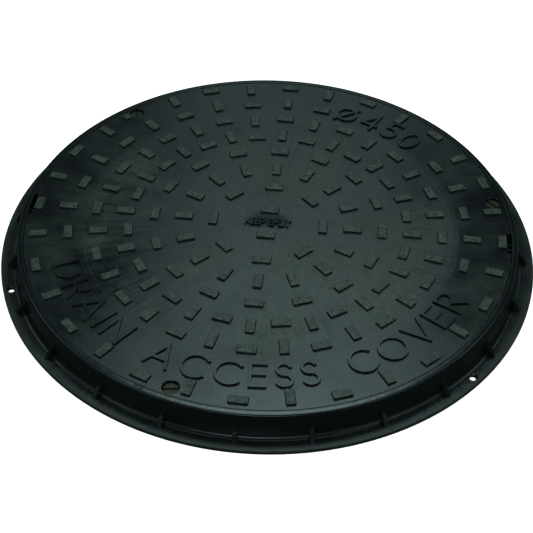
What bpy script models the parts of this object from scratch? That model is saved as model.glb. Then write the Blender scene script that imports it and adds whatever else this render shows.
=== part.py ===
"""A round moulded plastic manhole cover in its frame, for a 450 mm inspection chamber.

The ring frame beds on its flange. The treaded cover sits inside it on a rubber gasket, flush with
the rim, and three slotted screws hold it down in brass inserts. Two slots in the cover's edge take
lifting keys. The origin is the centre of the flange's underside, +Z is up, and +X points through
one of the lifting slots.
"""

import math

import bmesh
import bpy
from mathutils import Matrix, Vector

MM = 0.001
TURN = 2 * math.pi
SHARP_ANGLE = math.radians(30)

# Clearances
TOUCH_GAP = 0.3 * MM  # between faces that rest on each other
RIM_GAP = 0.8 * MM  # between the cover's edge and the rim
OPENING_GAP = 2.0 * MM  # between the cover's ribs and the clear opening
SCREW_GAP = 0.3 * MM  # round the screw's thread in its insert
SCREW_HOLE_GAP = 0.8 * MM  # round the screw's shank in the cover
HEAD_GAP = 0.4 * MM  # round the screw's head in its recess
JOIN = 1.0 * MM  # how far a rib or boss runs into the wall that it grows from

# Frame
OPENING_R = 225.0 * MM
SEAT_WIDTH = 21.2 * MM
SEAT_TOP = 11.0 * MM
SEAT_T = 4.0 * MM
DOWNSTAND_T = 4.0 * MM
RIM_T = 5.8 * MM
RIM_EDGE = 0.8 * MM
RIM_FLARE = 4.0 * MM  # how much further out the rim's foot stands than its top
FRAME_H = 30.0 * MM
FLANGE_WIDTH = 19.0 * MM
FLANGE_T = 4.0 * MM
GUSSETS = 24
GUSSET_T = 4.0 * MM
GUSSET_MARGIN = 5.3 * MM  # from the gussets' buried toes to the flange's edge
GUSSET_H = 20.0 * MM  # at the gussets' buried heads
GUSSET_KNEE_H = 8.0 * MM
GUSSET_KNEE_OUT = 3.6 * MM  # from the rim's foot
WEB_T = 3.0 * MM
WEB_RAISE = 1.0 * MM
FIXING_HOLES = 3
FIXING_HOLE_R = 3.3 * MM
FIXING_INSET = 8.0 * MM  # from the flange's edge
FIXING_ANGLE = math.radians(-37.5)

# Cover
COVER_DROP = 0.5 * MM  # the cover's face below the rim
COVER_EDGE = 1.0 * MM
PLATE_T = 4.0 * MM
SKIRT_T = 4.2 * MM
RIB_T = 3.0 * MM
RIB_UNDERSIDE = 7.0 * MM
RIB_PITCH = 50.0 * MM
RIB_RINGS = 5
RADIAL_RIBS = 12

# Tread
STUD_L = 18.5 * MM
STUD_W = 9.0 * MM
STUD_H = 2.2 * MM
STUD_GAP = 0.4 * MM  # from a screw's recess to the half stud beside it
STUD_MARGIN = 4.9 * MM  # from the outermost studs to the cover's edge
RING_PITCH = 30.0 * MM
FEWEST_COLUMNS = 8
CLOSEST_COLUMNS = 25.0 * MM  # a ring has twice the columns where they stay this far apart
FIRST_ANGLE = math.radians(90)
ODD_SET_IN = 4.5 * MM
CENTRE_PAIR_R = 19.0 * MM
LETTER_RING_FROM_EDGE = 1
LETTER_SECTORS = ((math.radians(270), math.radians(68)), (math.radians(56.25), math.radians(12)))

# Lifting slots
LIFT_SLOTS = 2
SLOT_L = 28.5 * MM
SLOT_W = 5.0 * MM
SLOT_FLOOR_T = 4.0 * MM
SLOT_WALL = 3.5 * MM
SLOT_POCKETS = 4
SLOT_WEB_T = 1.4 * MM
SLOT_WEB_DROP = 5.0 * MM  # the webs' tops below the cover's face

# Gasket
GASKET_T = 2.0 * MM
GASKET_MARGIN = 1.0 * MM  # from either edge of the seat
GASKET_HOLE_GAP = 1.5 * MM  # round the screw

# Screws and inserts
SCREWS = 3
SCREW_ANGLE = math.radians(15)
SCREW_SET_IN = 1.4 * MM  # from the recess to the cover's edge
HEAD_R = 7.6 * MM
HEAD_H = 3.5 * MM
HEAD_DROP = 2.5 * MM
HEAD_EDGE = 0.5 * MM
DRIVE_SLOT_W = 1.6 * MM
DRIVE_SLOT_DEPTH = 1.8 * MM
DRIVE_ANGLES = (math.radians(137), math.radians(98.5), math.radians(9))
SHANK_R = 4.0 * MM
TIP_EDGE = 1.0 * MM
TIP_CLEARANCE = 1.0 * MM  # from the screw's tip to the insert's foot
BOSS_T = 2.5 * MM
SEAL_CORD_R = 0.9 * MM
INSERT_T = 1.9 * MM
INSERT_FLOOR_T = 1.5 * MM
INSERT_DROP = 0.3 * MM  # the insert's top below the seat
INSERT_BOSS_T = 3.2 * MM

# Facets round a circle
BIG_STEPS = 72
RIB_RING_STEPS = (60, 48, 36, 36, 24)
SMALL_STEPS = 24
SEAL_CORD_STEPS = 6

# Sizes that follow from the others
RIM_INNER_R = OPENING_R + SEAT_WIDTH
RIM_OUTER_R = RIM_INNER_R + RIM_T
RIM_FOOT_R = RIM_OUTER_R + RIM_FLARE
FLANGE_R = RIM_OUTER_R + FLANGE_WIDTH
COVER_R = RIM_INNER_R - RIM_GAP
COVER_TOP = FRAME_H - COVER_DROP
PLATE_UNDERSIDE = COVER_TOP - PLATE_T
GASKET_BASE = SEAT_TOP + TOUCH_GAP
COVER_BASE = GASKET_BASE + GASKET_T + TOUCH_GAP
SKIRT_INNER_R = COVER_R - SKIRT_T
OUTER_RIB_R = OPENING_R - OPENING_GAP
LAST_RING_R = COVER_R - STUD_MARGIN - STUD_W / 2
RINGS = int((LAST_RING_R - CENTRE_PAIR_R) / RING_PITCH)
SLOT_INNER_R = COVER_R - SLOT_W
SLOT_BASE = COVER_BASE + SLOT_FLOOR_T
RECESS_R = HEAD_R + HEAD_GAP
SCREW_CIRCLE_R = COVER_R - SCREW_SET_IN - RECESS_R
HEAD_TOP = COVER_TOP - HEAD_DROP
HEAD_UNDERSIDE = HEAD_TOP - HEAD_H
SEAL_R = SHANK_R + SEAL_CORD_R + TOUCH_GAP
SEAL_Z = HEAD_UNDERSIDE - TOUCH_GAP - SEAL_CORD_R
RECESS_FLOOR = SEAL_Z - SEAL_CORD_R - TOUCH_GAP
BOSS_R = RECESS_R + BOSS_T
INSERT_TOP = SEAT_TOP - INSERT_DROP
INSERT_BASE = INSERT_FLOOR_T + TOUCH_GAP
INSERT_BORE_R = SHANK_R + SCREW_GAP
INSERT_R = INSERT_BORE_R + INSERT_T
SCREW_TIP = INSERT_BASE + TIP_CLEARANCE


def clear_scene():
    """Removes what the startup scene holds."""
    for thing in list(bpy.data.objects):
        bpy.data.objects.remove(thing, do_unlink=True)


def make_material(name, colour, roughness, metallic=0.0):
    """A Principled material of one colour."""
    material = bpy.data.materials.new(name)
    material.use_nodes = True
    shader = material.node_tree.nodes["Principled BSDF"]
    shader.inputs["Base Color"].default_value = (*colour, 1.0)
    shader.inputs["Roughness"].default_value = roughness
    shader.inputs["Metallic"].default_value = metallic
    return material


def add_object(name, bm, material=None, parent=None):
    """Turns a bmesh into a named object, with round faces smooth and real edges sharp."""
    bmesh.ops.remove_doubles(bm, verts=bm.verts, dist=0.001 * MM)
    bmesh.ops.recalc_face_normals(bm, faces=bm.faces)
    mesh = bpy.data.meshes.new(name)
    bm.to_mesh(mesh)
    bm.free()
    mesh.shade_smooth()
    mesh.set_sharp_from_angle(angle=SHARP_ANGLE)
    thing = bpy.data.objects.new(name, mesh)
    bpy.context.scene.collection.objects.link(thing)
    thing.parent = parent
    if material:
        mesh.materials.append(material)
    return thing


def add_helper(name, bm):
    """An object that a Boolean reads and that isn't itself part of the model."""
    helper = add_object(name, bm)
    helper.hide_render = True
    helper.display_type = "WIRE"
    return helper


def boolean(target, helper, operation):
    """Joins a helper to the target, or cuts it away."""
    modifier = target.modifiers.new(helper.name, "BOOLEAN")
    modifier.object = helper
    modifier.operation = operation
    modifier.solver = "EXACT"


def settle(target):
    """Makes the Booleans' result the object's own mesh, with its real edges sharp."""
    evaluated = target.evaluated_get(bpy.context.evaluated_depsgraph_get())
    mesh = bpy.data.meshes.new_from_object(evaluated)
    target.modifiers.clear()
    target.data = mesh
    mesh.shade_smooth()
    mesh.set_sharp_from_angle(angle=SHARP_ANGLE)


def turned(bm, outline, steps):
    """Spins a closed outline of (radius, height) points once round the Z axis."""
    corners = [bm.verts.new((radius, 0.0, height)) for radius, height in outline]
    edges = [bm.edges.new((a, b)) for a, b in zip(corners, corners[1:] + corners[:1])]
    edges = [e for e in edges if max(v.co.x for v in e.verts) > 0]  # none along the axis
    bmesh.ops.spin(
        bm, geom=corners + edges, axis=(0, 0, 1), cent=(0, 0, 0), angle=TURN, steps=steps, use_merge=True
    )


def cylinder(bm, radius, low, high, place=None):
    """A closed cylinder from one height to another, on an axis through place."""
    height = high - low
    matrix = Matrix.Translation((place or Vector((0, 0, 0))) + Vector((0, 0, low + height / 2)))
    bmesh.ops.create_cone(
        bm, cap_ends=True, segments=SMALL_STEPS, radius1=radius, radius2=radius, depth=height, matrix=matrix
    )


def block(bm, size, centre, angle):
    """A box with its centre at (radius, 0, height), then turned about the Z axis."""
    place = Matrix.Rotation(angle, 4, "Z") @ Matrix.Translation(centre)
    bmesh.ops.create_cube(bm, size=1.0, matrix=place @ Matrix.Diagonal((*size, 1.0)))


def upright_plate(bm, outline, thickness, angle):
    """A plate standing on a radius: its (radius, height) outline, given a thickness and turned."""
    turn = Matrix.Rotation(angle, 4, "Z")
    corners = [bm.verts.new(turn @ Vector((radius, -thickness / 2, height))) for radius, height in outline]
    face = bm.faces.new(corners)
    extruded = bmesh.ops.extrude_face_region(bm, geom=[face])
    moved = [v for v in extruded["geom"] if isinstance(v, bmesh.types.BMVert)]
    bmesh.ops.translate(bm, verts=moved, vec=turn.to_3x3() @ Vector((0, thickness, 0)))


def around(count, first=0.0):
    """Angles of a pattern evenly spaced round the circle."""
    return [first + index * TURN / count for index in range(count)]


def on_circle(radius, angle, height=0.0):
    """A point at a radius and an angle about the Z axis."""
    return Vector((radius * math.cos(angle), radius * math.sin(angle), height))


def screw_angles():
    """Where the three screws, their seals and their inserts stand."""
    return around(SCREWS, SCREW_ANGLE)


def make_frame(material):
    """The ring frame: flange, rim, seat and downstand in one section, with its gussets and bosses."""
    bm = bmesh.new()
    outline = [
        (FLANGE_R, 0.0),
        (FLANGE_R, FLANGE_T),
        (RIM_FOOT_R, FLANGE_T),
        (RIM_OUTER_R, FRAME_H - RIM_EDGE),
        (RIM_OUTER_R - RIM_EDGE, FRAME_H),
        (RIM_INNER_R, FRAME_H),
        (RIM_INNER_R, SEAT_TOP),
        (OPENING_R, SEAT_TOP),
        (OPENING_R, 0.0),
        (OPENING_R + DOWNSTAND_T, 0.0),
        (OPENING_R + DOWNSTAND_T, SEAT_TOP - SEAT_T),
        (RIM_INNER_R, SEAT_TOP - SEAT_T),
        (RIM_INNER_R, 0.0),
    ]
    turned(bm, outline, BIG_STEPS)
    frame = add_object("frame", bm, material)
    boolean(frame, frame_gussets(), "UNION")
    boolean(frame, frame_webs(), "UNION")
    boolean(frame, insert_bosses(), "UNION")
    boolean(frame, frame_bores(), "DIFFERENCE")
    settle(frame)


def frame_gussets():
    """The plates that brace the rim against the flange, steep by the rim and flatter further out."""
    bm = bmesh.new()
    toe = FLANGE_R - GUSSET_MARGIN
    outline = [
        (RIM_OUTER_R - JOIN, FLANGE_T - JOIN),
        (toe, FLANGE_T - JOIN),
        (RIM_FOOT_R + GUSSET_KNEE_OUT, FLANGE_T + GUSSET_KNEE_H),
        (RIM_OUTER_R - JOIN, FLANGE_T + GUSSET_H),
    ]
    for angle in around(GUSSETS):
        upright_plate(bm, outline, GUSSET_T, angle)
    return add_helper("gussets", bm)


def frame_webs():
    """The webs across the channel under the seat, one behind each gusset."""
    bm = bmesh.new()
    low = WEB_RAISE
    high = SEAT_TOP - SEAT_T + JOIN
    inner = OPENING_R + DOWNSTAND_T - JOIN
    outer = RIM_INNER_R + JOIN
    for angle in around(GUSSETS):
        block(bm, (outer - inner, WEB_T, high - low), ((inner + outer) / 2, 0, (low + high) / 2), angle)
    return add_helper("webs", bm)


def insert_bosses():
    """The bosses under the seat that hold the threaded inserts."""
    bm = bmesh.new()
    for angle in screw_angles():
        place = on_circle(SCREW_CIRCLE_R, angle)
        cylinder(bm, INSERT_R + INSERT_BOSS_T, WEB_RAISE / 2, SEAT_TOP - JOIN, place)
    return add_helper("insert_bosses", bm)


def frame_bores():
    """The insert pockets, open at the seat, and the fixing holes through the flange."""
    bm = bmesh.new()
    for angle in screw_angles():
        place = on_circle(SCREW_CIRCLE_R, angle)
        cylinder(bm, INSERT_R + TOUCH_GAP, INSERT_BASE - TOUCH_GAP, SEAT_TOP + JOIN, place)
    for angle in around(FIXING_HOLES, FIXING_ANGLE):
        place = on_circle(FLANGE_R - FIXING_INSET, angle)
        cylinder(bm, FIXING_HOLE_R, -JOIN, FLANGE_T + JOIN, place)
    return add_helper("frame_bores", bm)


def make_cover(material):
    """The cover: a plate with a skirt round its edge, stiffened below and treaded above."""
    bm = bmesh.new()
    outline = [
        (0.0, COVER_TOP),
        (COVER_R - COVER_EDGE, COVER_TOP),
        (COVER_R, COVER_TOP - COVER_EDGE),
        (COVER_R, COVER_BASE),
        (SKIRT_INNER_R, COVER_BASE),
        (SKIRT_INNER_R, PLATE_UNDERSIDE),
        (0.0, PLATE_UNDERSIDE),
    ]
    turned(bm, outline, BIG_STEPS)
    cover = add_object("cover", bm, material)
    boolean(cover, cover_rib_rings(), "UNION")
    boolean(cover, cover_radial_ribs(), "UNION")
    boolean(cover, cover_bosses(), "UNION")
    boolean(cover, tread_studs(), "UNION")
    boolean(cover, screw_recesses(), "DIFFERENCE")
    boolean(cover, screw_holes(), "DIFFERENCE")
    boolean(cover, lifting_slots(), "DIFFERENCE")
    boolean(cover, slot_pockets(), "DIFFERENCE")
    settle(cover)


def cover_rib_rings():
    """Round ribs under the plate, the outermost just inside the clear opening."""
    bm = bmesh.new()
    for index, steps in enumerate(RIB_RING_STEPS[:RIB_RINGS]):
        outer = OUTER_RIB_R - index * RIB_PITCH
        low, high = RIB_UNDERSIDE, PLATE_UNDERSIDE + JOIN
        turned(bm, [(outer, low), (outer, high), (outer - RIB_T, high), (outer - RIB_T, low)], steps)
    return add_helper("rib_rings", bm)


def cover_radial_ribs():
    """Straight ribs from the middle ring to the skirt, shallower where they pass over the seat."""
    bm = bmesh.new()
    inner = OUTER_RIB_R - (RIB_RINGS - 1) * RIB_PITCH - RIB_T / 2
    outer = SKIRT_INNER_R + JOIN
    low, step, high = RIB_UNDERSIDE + JOIN, COVER_BASE + JOIN, PLATE_UNDERSIDE + JOIN
    over_seat = OUTER_RIB_R - RIB_T / 2
    outline = [(inner, low), (over_seat, low), (over_seat, step), (outer, step), (outer, high), (inner, high)]
    for angle in around(RADIAL_RIBS):
        upright_plate(bm, outline, RIB_T, angle)
    return add_helper("radial_ribs", bm)


def cover_bosses():
    """The bosses round the screws and the blocks behind the lifting slots, kept inside the skirt."""
    bm = bmesh.new()
    for angle in screw_angles():
        cylinder(bm, BOSS_R, COVER_BASE + JOIN / 2, PLATE_UNDERSIDE + JOIN, on_circle(SCREW_CIRCLE_R, angle))
    outer = SKIRT_INNER_R + JOIN
    inner = SLOT_INNER_R - SLOT_WALL
    low, high = COVER_BASE + JOIN / 2, PLATE_UNDERSIDE + JOIN
    size = (outer - inner, SLOT_L + 2 * SLOT_WALL, high - low)
    for angle in around(LIFT_SLOTS):
        block(bm, size, ((inner + outer) / 2, 0, (low + high) / 2), angle)
    bosses = add_helper("cover_bosses", bm)
    trim = bmesh.new()
    turned(
        trim,
        [(0.0, FRAME_H), (COVER_R - JOIN, FRAME_H), (COVER_R - JOIN, 0.0), (0.0, 0.0)],
        BIG_STEPS,
    )
    boolean(bosses, add_helper("boss_trim", trim), "INTERSECT")
    return bosses


def ring_columns(radius):
    """How many columns of studs a ring has: doubled for as long as they don't crowd."""
    columns = FEWEST_COLUMNS
    while TURN * radius / (2 * columns) >= CLOSEST_COLUMNS:
        columns *= 2
    return columns


def stud_places():
    """(radius, angle, length, lies along the radius) for each raised stud of the tread."""
    for angle in (FIRST_ANGLE, FIRST_ANGLE + math.pi):
        yield CENTRE_PAIR_R, angle, STUD_L, False
    finest = ring_columns(LAST_RING_R)
    for ring in range(RINGS):
        from_edge = RINGS - 1 - ring
        radius = LAST_RING_R - from_edge * RING_PITCH
        for column in range(0, finest, finest // ring_columns(radius)):
            angle = FIRST_ANGLE + column * TURN / finest
            if from_edge == LETTER_RING_FROM_EDGE and in_letter_sector(angle):
                continue
            odd = column % 2
            along = (ring + odd) % 2 == 1
            if not along and on_screw(radius, angle):
                beside = (RECESS_R + STUD_GAP + STUD_L / 4) / radius
                yield radius, angle + beside, STUD_L / 2, along
            else:
                yield radius - odd * ODD_SET_IN, angle, STUD_L, along


def in_letter_sector(angle):
    """True where the studs of the lettered ring leave room for raised lettering."""
    return any(abs(math.remainder(angle - centre, TURN)) <= half for centre, half in LETTER_SECTORS)


def on_screw(radius, angle):
    """True where a stud's centre would fall in a screw's recess."""
    place = on_circle(radius, angle)
    return any((place - on_circle(SCREW_CIRCLE_R, screw)).length < RECESS_R for screw in screw_angles())


def tread_studs():
    """The raised studs, lying along and across the radius in turn."""
    bm = bmesh.new()
    low = COVER_TOP - JOIN
    height = STUD_H + JOIN
    for radius, angle, length, along in stud_places():
        size = (length, STUD_W, height) if along else (STUD_W, length, height)
        block(bm, size, (radius, 0, low + height / 2), angle)
    return add_helper("studs", bm)


def screw_recesses():
    """The round recesses that the screws' heads sink into."""
    bm = bmesh.new()
    for angle in screw_angles():
        cylinder(bm, RECESS_R, RECESS_FLOOR, FRAME_H + STUD_H, on_circle(SCREW_CIRCLE_R, angle))
    return add_helper("screw_recesses", bm)


def screw_holes():
    """The holes that the screws' shanks pass through."""
    bm = bmesh.new()
    for angle in screw_angles():
        place = on_circle(SCREW_CIRCLE_R, angle)
        cylinder(bm, SHANK_R + SCREW_HOLE_GAP, COVER_BASE - JOIN, RECESS_FLOOR + JOIN, place)
    return add_helper("screw_holes", bm)


def lifting_slots():
    """The two slots in the cover's edge, down to the webs in them."""
    bm = bmesh.new()
    height = SLOT_WEB_DROP + STUD_H + JOIN
    size = (SLOT_W + JOIN, SLOT_L, height)
    for angle in around(LIFT_SLOTS):
        block(bm, size, (SLOT_INNER_R + size[0] / 2, 0, COVER_TOP - SLOT_WEB_DROP + height / 2), angle)
    return add_helper("lifting_slots", bm)


def slot_pockets():
    """The pockets between the webs in each lifting slot."""
    bm = bmesh.new()
    pitch = (SLOT_L + SLOT_WEB_T) / SLOT_POCKETS
    low, high = SLOT_BASE, COVER_TOP - SLOT_WEB_DROP + JOIN
    size = (SLOT_W + JOIN, pitch - SLOT_WEB_T, high - low)
    for angle in around(LIFT_SLOTS):
        for pocket in range(SLOT_POCKETS):
            across = (pocket - (SLOT_POCKETS - 1) / 2) * pitch
            block(bm, size, (SLOT_INNER_R + size[0] / 2, across, (low + high) / 2), angle)
    return add_helper("slot_pockets", bm)


def make_gasket(material):
    """The flat rubber ring between seat and cover, with a hole for each screw."""
    bm = bmesh.new()
    inner, outer = OPENING_R + GASKET_MARGIN, RIM_INNER_R - GASKET_MARGIN
    low, high = GASKET_BASE, GASKET_BASE + GASKET_T
    turned(bm, [(outer, low), (outer, high), (inner, high), (inner, low)], BIG_STEPS)
    gasket = add_object("gasket", bm, material)
    holes = bmesh.new()
    for angle in screw_angles():
        place = on_circle(SCREW_CIRCLE_R, angle)
        cylinder(holes, SHANK_R + GASKET_HOLE_GAP, low - JOIN, high + JOIN, place)
    boolean(gasket, add_helper("gasket_holes", holes), "DIFFERENCE")
    settle(gasket)


def screw_axis(number, angle):
    """The empty that carries a screw and its seal on the screw's own axis."""
    axis = bpy.data.objects.new(f"screw_axis_{number}", None)
    axis.location = on_circle(SCREW_CIRCLE_R, angle)
    bpy.context.scene.collection.objects.link(axis)
    return axis


def make_screw(number, drive_angle, axis, material):
    """A cheese-headed machine screw with a straight drive slot."""
    bm = bmesh.new()
    outline = [
        (0.0, HEAD_TOP),
        (HEAD_R - HEAD_EDGE, HEAD_TOP),
        (HEAD_R, HEAD_TOP - HEAD_EDGE),
        (HEAD_R, HEAD_UNDERSIDE),
        (SHANK_R, HEAD_UNDERSIDE),
        (SHANK_R, SCREW_TIP + TIP_EDGE),
        (SHANK_R - TIP_EDGE, SCREW_TIP),
        (0.0, SCREW_TIP),
    ]
    turned(bm, outline, SMALL_STEPS)
    screw = add_object(f"screw_{number}", bm, material, axis)
    cut = bmesh.new()
    height = DRIVE_SLOT_DEPTH + JOIN
    size = (3 * HEAD_R, DRIVE_SLOT_W, height)
    block(cut, size, (0, 0, HEAD_TOP - DRIVE_SLOT_DEPTH + height / 2), drive_angle)
    slot = add_helper(f"drive_slot_{number}", cut)
    slot.parent = axis
    boolean(screw, slot, "DIFFERENCE")
    settle(screw)


def make_screw_seal(number, axis, material):
    """The rubber ring under a screw's head."""
    bm = bmesh.new()
    outline = [
        (SEAL_R + SEAL_CORD_R * math.cos(turn), SEAL_Z + SEAL_CORD_R * math.sin(turn))
        for turn in around(SEAL_CORD_STEPS)
    ]
    turned(bm, outline, SMALL_STEPS)
    add_object(f"screw_seal_{number}", bm, material, axis)


def make_insert(number, axis, material):
    """A brass threaded insert, drawn with a plain bore at the thread's outer size."""
    bm = bmesh.new()
    outline = [
        (INSERT_R, INSERT_BASE),
        (INSERT_R, INSERT_TOP),
        (INSERT_BORE_R, INSERT_TOP),
        (INSERT_BORE_R, INSERT_BASE),
    ]
    turned(bm, outline, SMALL_STEPS)
    add_object(f"threaded_insert_{number}", bm, material, axis)


def main():
    clear_scene()
    plastic = make_material("black_polypropylene", (0.028, 0.038, 0.036), 0.45)
    rubber = make_material("sealing_rubber", (0.02, 0.02, 0.02), 0.75)
    screw_metal = make_material("screw_metal", (0.42, 0.38, 0.27), 0.4, 1.0)
    brass = make_material("insert_brass", (0.72, 0.55, 0.28), 0.35, 1.0)
    make_frame(plastic)
    make_cover(plastic)
    make_gasket(rubber)
    for number, (angle, drive_angle) in enumerate(zip(screw_angles(), DRIVE_ANGLES), start=1):
        axis = screw_axis(number, angle)
        make_screw(number, drive_angle, axis, screw_metal)
        make_screw_seal(number, axis, rubber)
        make_insert(number, axis, brass)


if __name__ == "__main__":
    main()
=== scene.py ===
"""A treaded plastic manhole cover in its flanged frame, with its gasket, screws, seals and inserts.

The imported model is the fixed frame: it gives every piece's place and main sizes. Lengths are metres.
"""

import math

import bmesh
import bpy
import numpy as np
from bpy.props import FloatProperty, FloatVectorProperty, IntProperty, PointerProperty, StringProperty
from mathutils import Matrix, Vector
from mathutils.geometry import delaunay_2d_cdt


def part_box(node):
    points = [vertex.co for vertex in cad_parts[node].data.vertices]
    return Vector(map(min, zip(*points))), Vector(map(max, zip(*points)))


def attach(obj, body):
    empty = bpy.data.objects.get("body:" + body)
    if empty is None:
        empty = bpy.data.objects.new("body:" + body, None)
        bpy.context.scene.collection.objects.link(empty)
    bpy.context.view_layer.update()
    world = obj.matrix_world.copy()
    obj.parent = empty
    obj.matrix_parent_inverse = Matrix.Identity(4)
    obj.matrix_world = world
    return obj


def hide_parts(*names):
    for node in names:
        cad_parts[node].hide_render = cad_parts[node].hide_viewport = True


bl_info = {
    "name": "Manhole Cover",
    "version": (1, 0, 0),
    "blender": (4, 5, 0),
    "location": "3D View > Sidebar > Manhole",
    "description": "Builds a treaded plastic manhole cover with its frame, gasket, screws and inserts",
    "category": "Add Mesh",
}

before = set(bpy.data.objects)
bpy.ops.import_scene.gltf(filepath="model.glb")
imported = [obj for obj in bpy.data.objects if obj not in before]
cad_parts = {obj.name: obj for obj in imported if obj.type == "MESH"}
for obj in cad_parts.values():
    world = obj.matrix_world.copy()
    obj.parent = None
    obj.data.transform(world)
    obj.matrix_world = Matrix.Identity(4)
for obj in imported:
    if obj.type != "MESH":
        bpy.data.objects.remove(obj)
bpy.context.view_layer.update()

MM = 0.001
TURN = 2 * math.pi
AROUND = 192  # steps round the big circles
SMALL_AROUND = 48  # steps round a screw
SINK = 0.6 * MM  # how far a raised shape starts below the face that it stands on
TINY = 1e-9
BACK, FRONT = math.pi / 2, 1.5 * math.pi  # angles from the X axis

FRAME_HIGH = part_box("frame")[1]
COVER_LOW, COVER_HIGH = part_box("cover")
GASKET_LOW, GASKET_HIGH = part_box("gasket")
FLANGE_R = FRAME_HIGH.x
RIM_TOP = FRAME_HIGH.z
COVER_R = COVER_HIGH.y + 0.2 * MM  # the edge is drawn a little closer to the rim than it may collide
STUD_TOP = COVER_HIGH.z
RIB_UNDERSIDE = COVER_LOW.z
COVER_BASE = GASKET_HIGH.z + 0.3 * MM  # the foot of the cover's skirt, just clear of the gasket
SCREW_NUMBERS = (1, 2, 3)


def screw_place(number):
    """Where a screw's axis meets the ground plane."""
    low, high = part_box(f"screw_{number}")
    centre = (low + high) / 2
    return Vector((centre.x, centre.y, 0.0))


def half_width(node):
    """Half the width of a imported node: the outer radius of a round one."""
    low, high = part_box(node)
    return (high.x - low.x) / 2


# Sizes and colours that a user would change


def length(name, text, default):
    """A length in metres, given in millimetres."""
    return FloatProperty(name=name, description=text, default=default * MM, unit="LENGTH", precision=4)


def angle(name, text, default):
    """An angle, given in degrees."""
    return FloatProperty(name=name, description=text, default=math.radians(default), unit="ROTATION")


def colour(name, text, default):
    """A linear colour."""
    return FloatVectorProperty(
        name=name, description=text, default=default, size=3, subtype="COLOR", min=0.0, max=1.0
    )


def strength(name, text, default):
    """A plain number."""
    return FloatProperty(name=name, description=text, default=default)


def wording(name, text, default):
    """A line of text."""
    return StringProperty(name=name, description=text, default=default)


def spot(name, text, default):
    """A place in metres."""
    return FloatVectorProperty(name=name, description=text, default=default, unit="LENGTH")


class FrameSizes(bpy.types.PropertyGroup):
    """Sizes of the ring frame."""

    rim_inner: length("Rim inner radius", "Radius of the rim's inner wall", 246.05)
    rim_outer: length("Rim outer radius", "Radius of the rim's outer wall at the top", 252.0)
    rim_edge: length("Rim edge", "Radius of the rim's outer top edge", 2.0)
    rim_crown: length("Rim crown", "How much lower the rim's outer edge is than its top", 0.3)
    rim_flare: length("Rim flare", "How much further out the rim's foot stands than its top", 4.0)
    foot_fillet: length("Foot fillet", "Radius between the rim and the flange", 4.5)
    flange_t: length("Flange thickness", "Thickness of the bedding flange", 4.0)
    opening: length("Clear opening", "Radius of the clear opening", 225.0)
    seat_top: length("Seat height", "Height of the seat that the gasket lies on", 11.0)
    seat_t: length("Seat thickness", "Thickness of the seat", 4.0)
    downstand_t: length("Downstand", "Thickness of the wall round the opening", 4.0)
    gussets: IntProperty(name="Gussets", description="Gussets round the rim", default=24, min=3)
    gusset_t: length("Gusset thickness", "Thickness of a gusset at its foot", 4.2)
    gusset_margin: length("Gusset margin", "From a gusset's toe to the flange's edge", 5.6)
    gusset_head: length("Gusset height", "Height of a gusset's head above the flange", 19.5)
    gusset_knee_out: length("Knee reach", "From the rim's foot to a gusset's knee", 3.6)
    gusset_knee_up: length("Knee height", "Height of a gusset's knee above the flange", 8.0)
    hole_r: length("Fixing hole", "Radius of a fixing hole", 3.2)
    hole_sink_r: length("Countersink", "Radius of a fixing hole's countersink", 4.6)
    hole_inset: length("Hole inset", "From a fixing hole to the flange's edge", 8.0)
    hole_angle: angle("Hole angle", "Where the first of the three fixing holes is", -37.5)


class CoverSizes(bpy.types.PropertyGroup):
    """Sizes of the cover's shell and ribs."""

    drop: length("Drop", "The cover's face below the rim", 0.5)
    edge: length("Edge", "Radius of the cover's top edge", 0.6)
    plate_t: length("Plate", "Thickness of the cover's plate", 4.0)
    skirt_t: length("Skirt", "Thickness of the cover's skirt", 4.2)
    rib_t: length("Rib", "Thickness of a rib", 3.0)
    rib_outer: length("Outer rib", "Radius of the outermost ring rib", 223.0)
    rib_pitch: length("Rib pitch", "From one ring rib to the next", 50.0)
    rib_rings: IntProperty(name="Ring ribs", description="Ring ribs under the plate", default=5, min=1)
    rib_spokes: IntProperty(name="Spokes", description="Straight ribs under the plate", default=12, min=3)
    recess_gap: length("Recess gap", "Gap round a screw's head", 0.4)
    recess_floor: length("Recess floor", "Height of the floor of a screw's recess", 21.1)
    hole_gap: length("Hole gap", "Gap round a screw's shank", 0.8)
    slot_l: length("Slot length", "Length of a lifting slot", 28.5)
    slot_w: length("Slot width", "Width of a lifting slot", 5.0)
    slot_base: length("Slot floor", "Height of the floor of a lifting slot", 17.6)
    slot_webs: IntProperty(name="Slot webs", description="Webs across a lifting slot", default=3, min=0)
    slot_web_t: length("Web thickness", "Thickness of a web in a lifting slot", 1.4)
    slot_web_drop: length("Web drop", "The webs' tops below the cover's face", 9.0)


class TreadSizes(bpy.types.PropertyGroup):
    """Sizes of the raised studs and where they stand."""

    stud_l: length("Stud length", "Length of a stud at its foot", 18.5)
    stud_w: length("Stud width", "Width of a stud at its foot", 9.0)
    stud_corner: length("Stud corner", "Corner radius of a stud, seen from above", 0.7)
    stud_draft: length("Stud draft", "How much a stud's side leans in", 0.25)
    stud_edge: length("Stud edge", "Width of the round along a stud's top edge", 0.45)
    last_ring: length("Last ring", "Radius of the outermost ring of studs", 236.0)
    ring_pitch: length("Ring pitch", "From one ring of studs to the next", 30.0)
    centre_pair: length("Centre pair", "Radius of the two studs by the middle", 19.0)
    odd_set_in: length("Odd set-in", "How much nearer the middle every second stud is", 4.5)
    closest: length("Closest columns", "A ring's columns double where they stay this far apart", 25.0)


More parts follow.
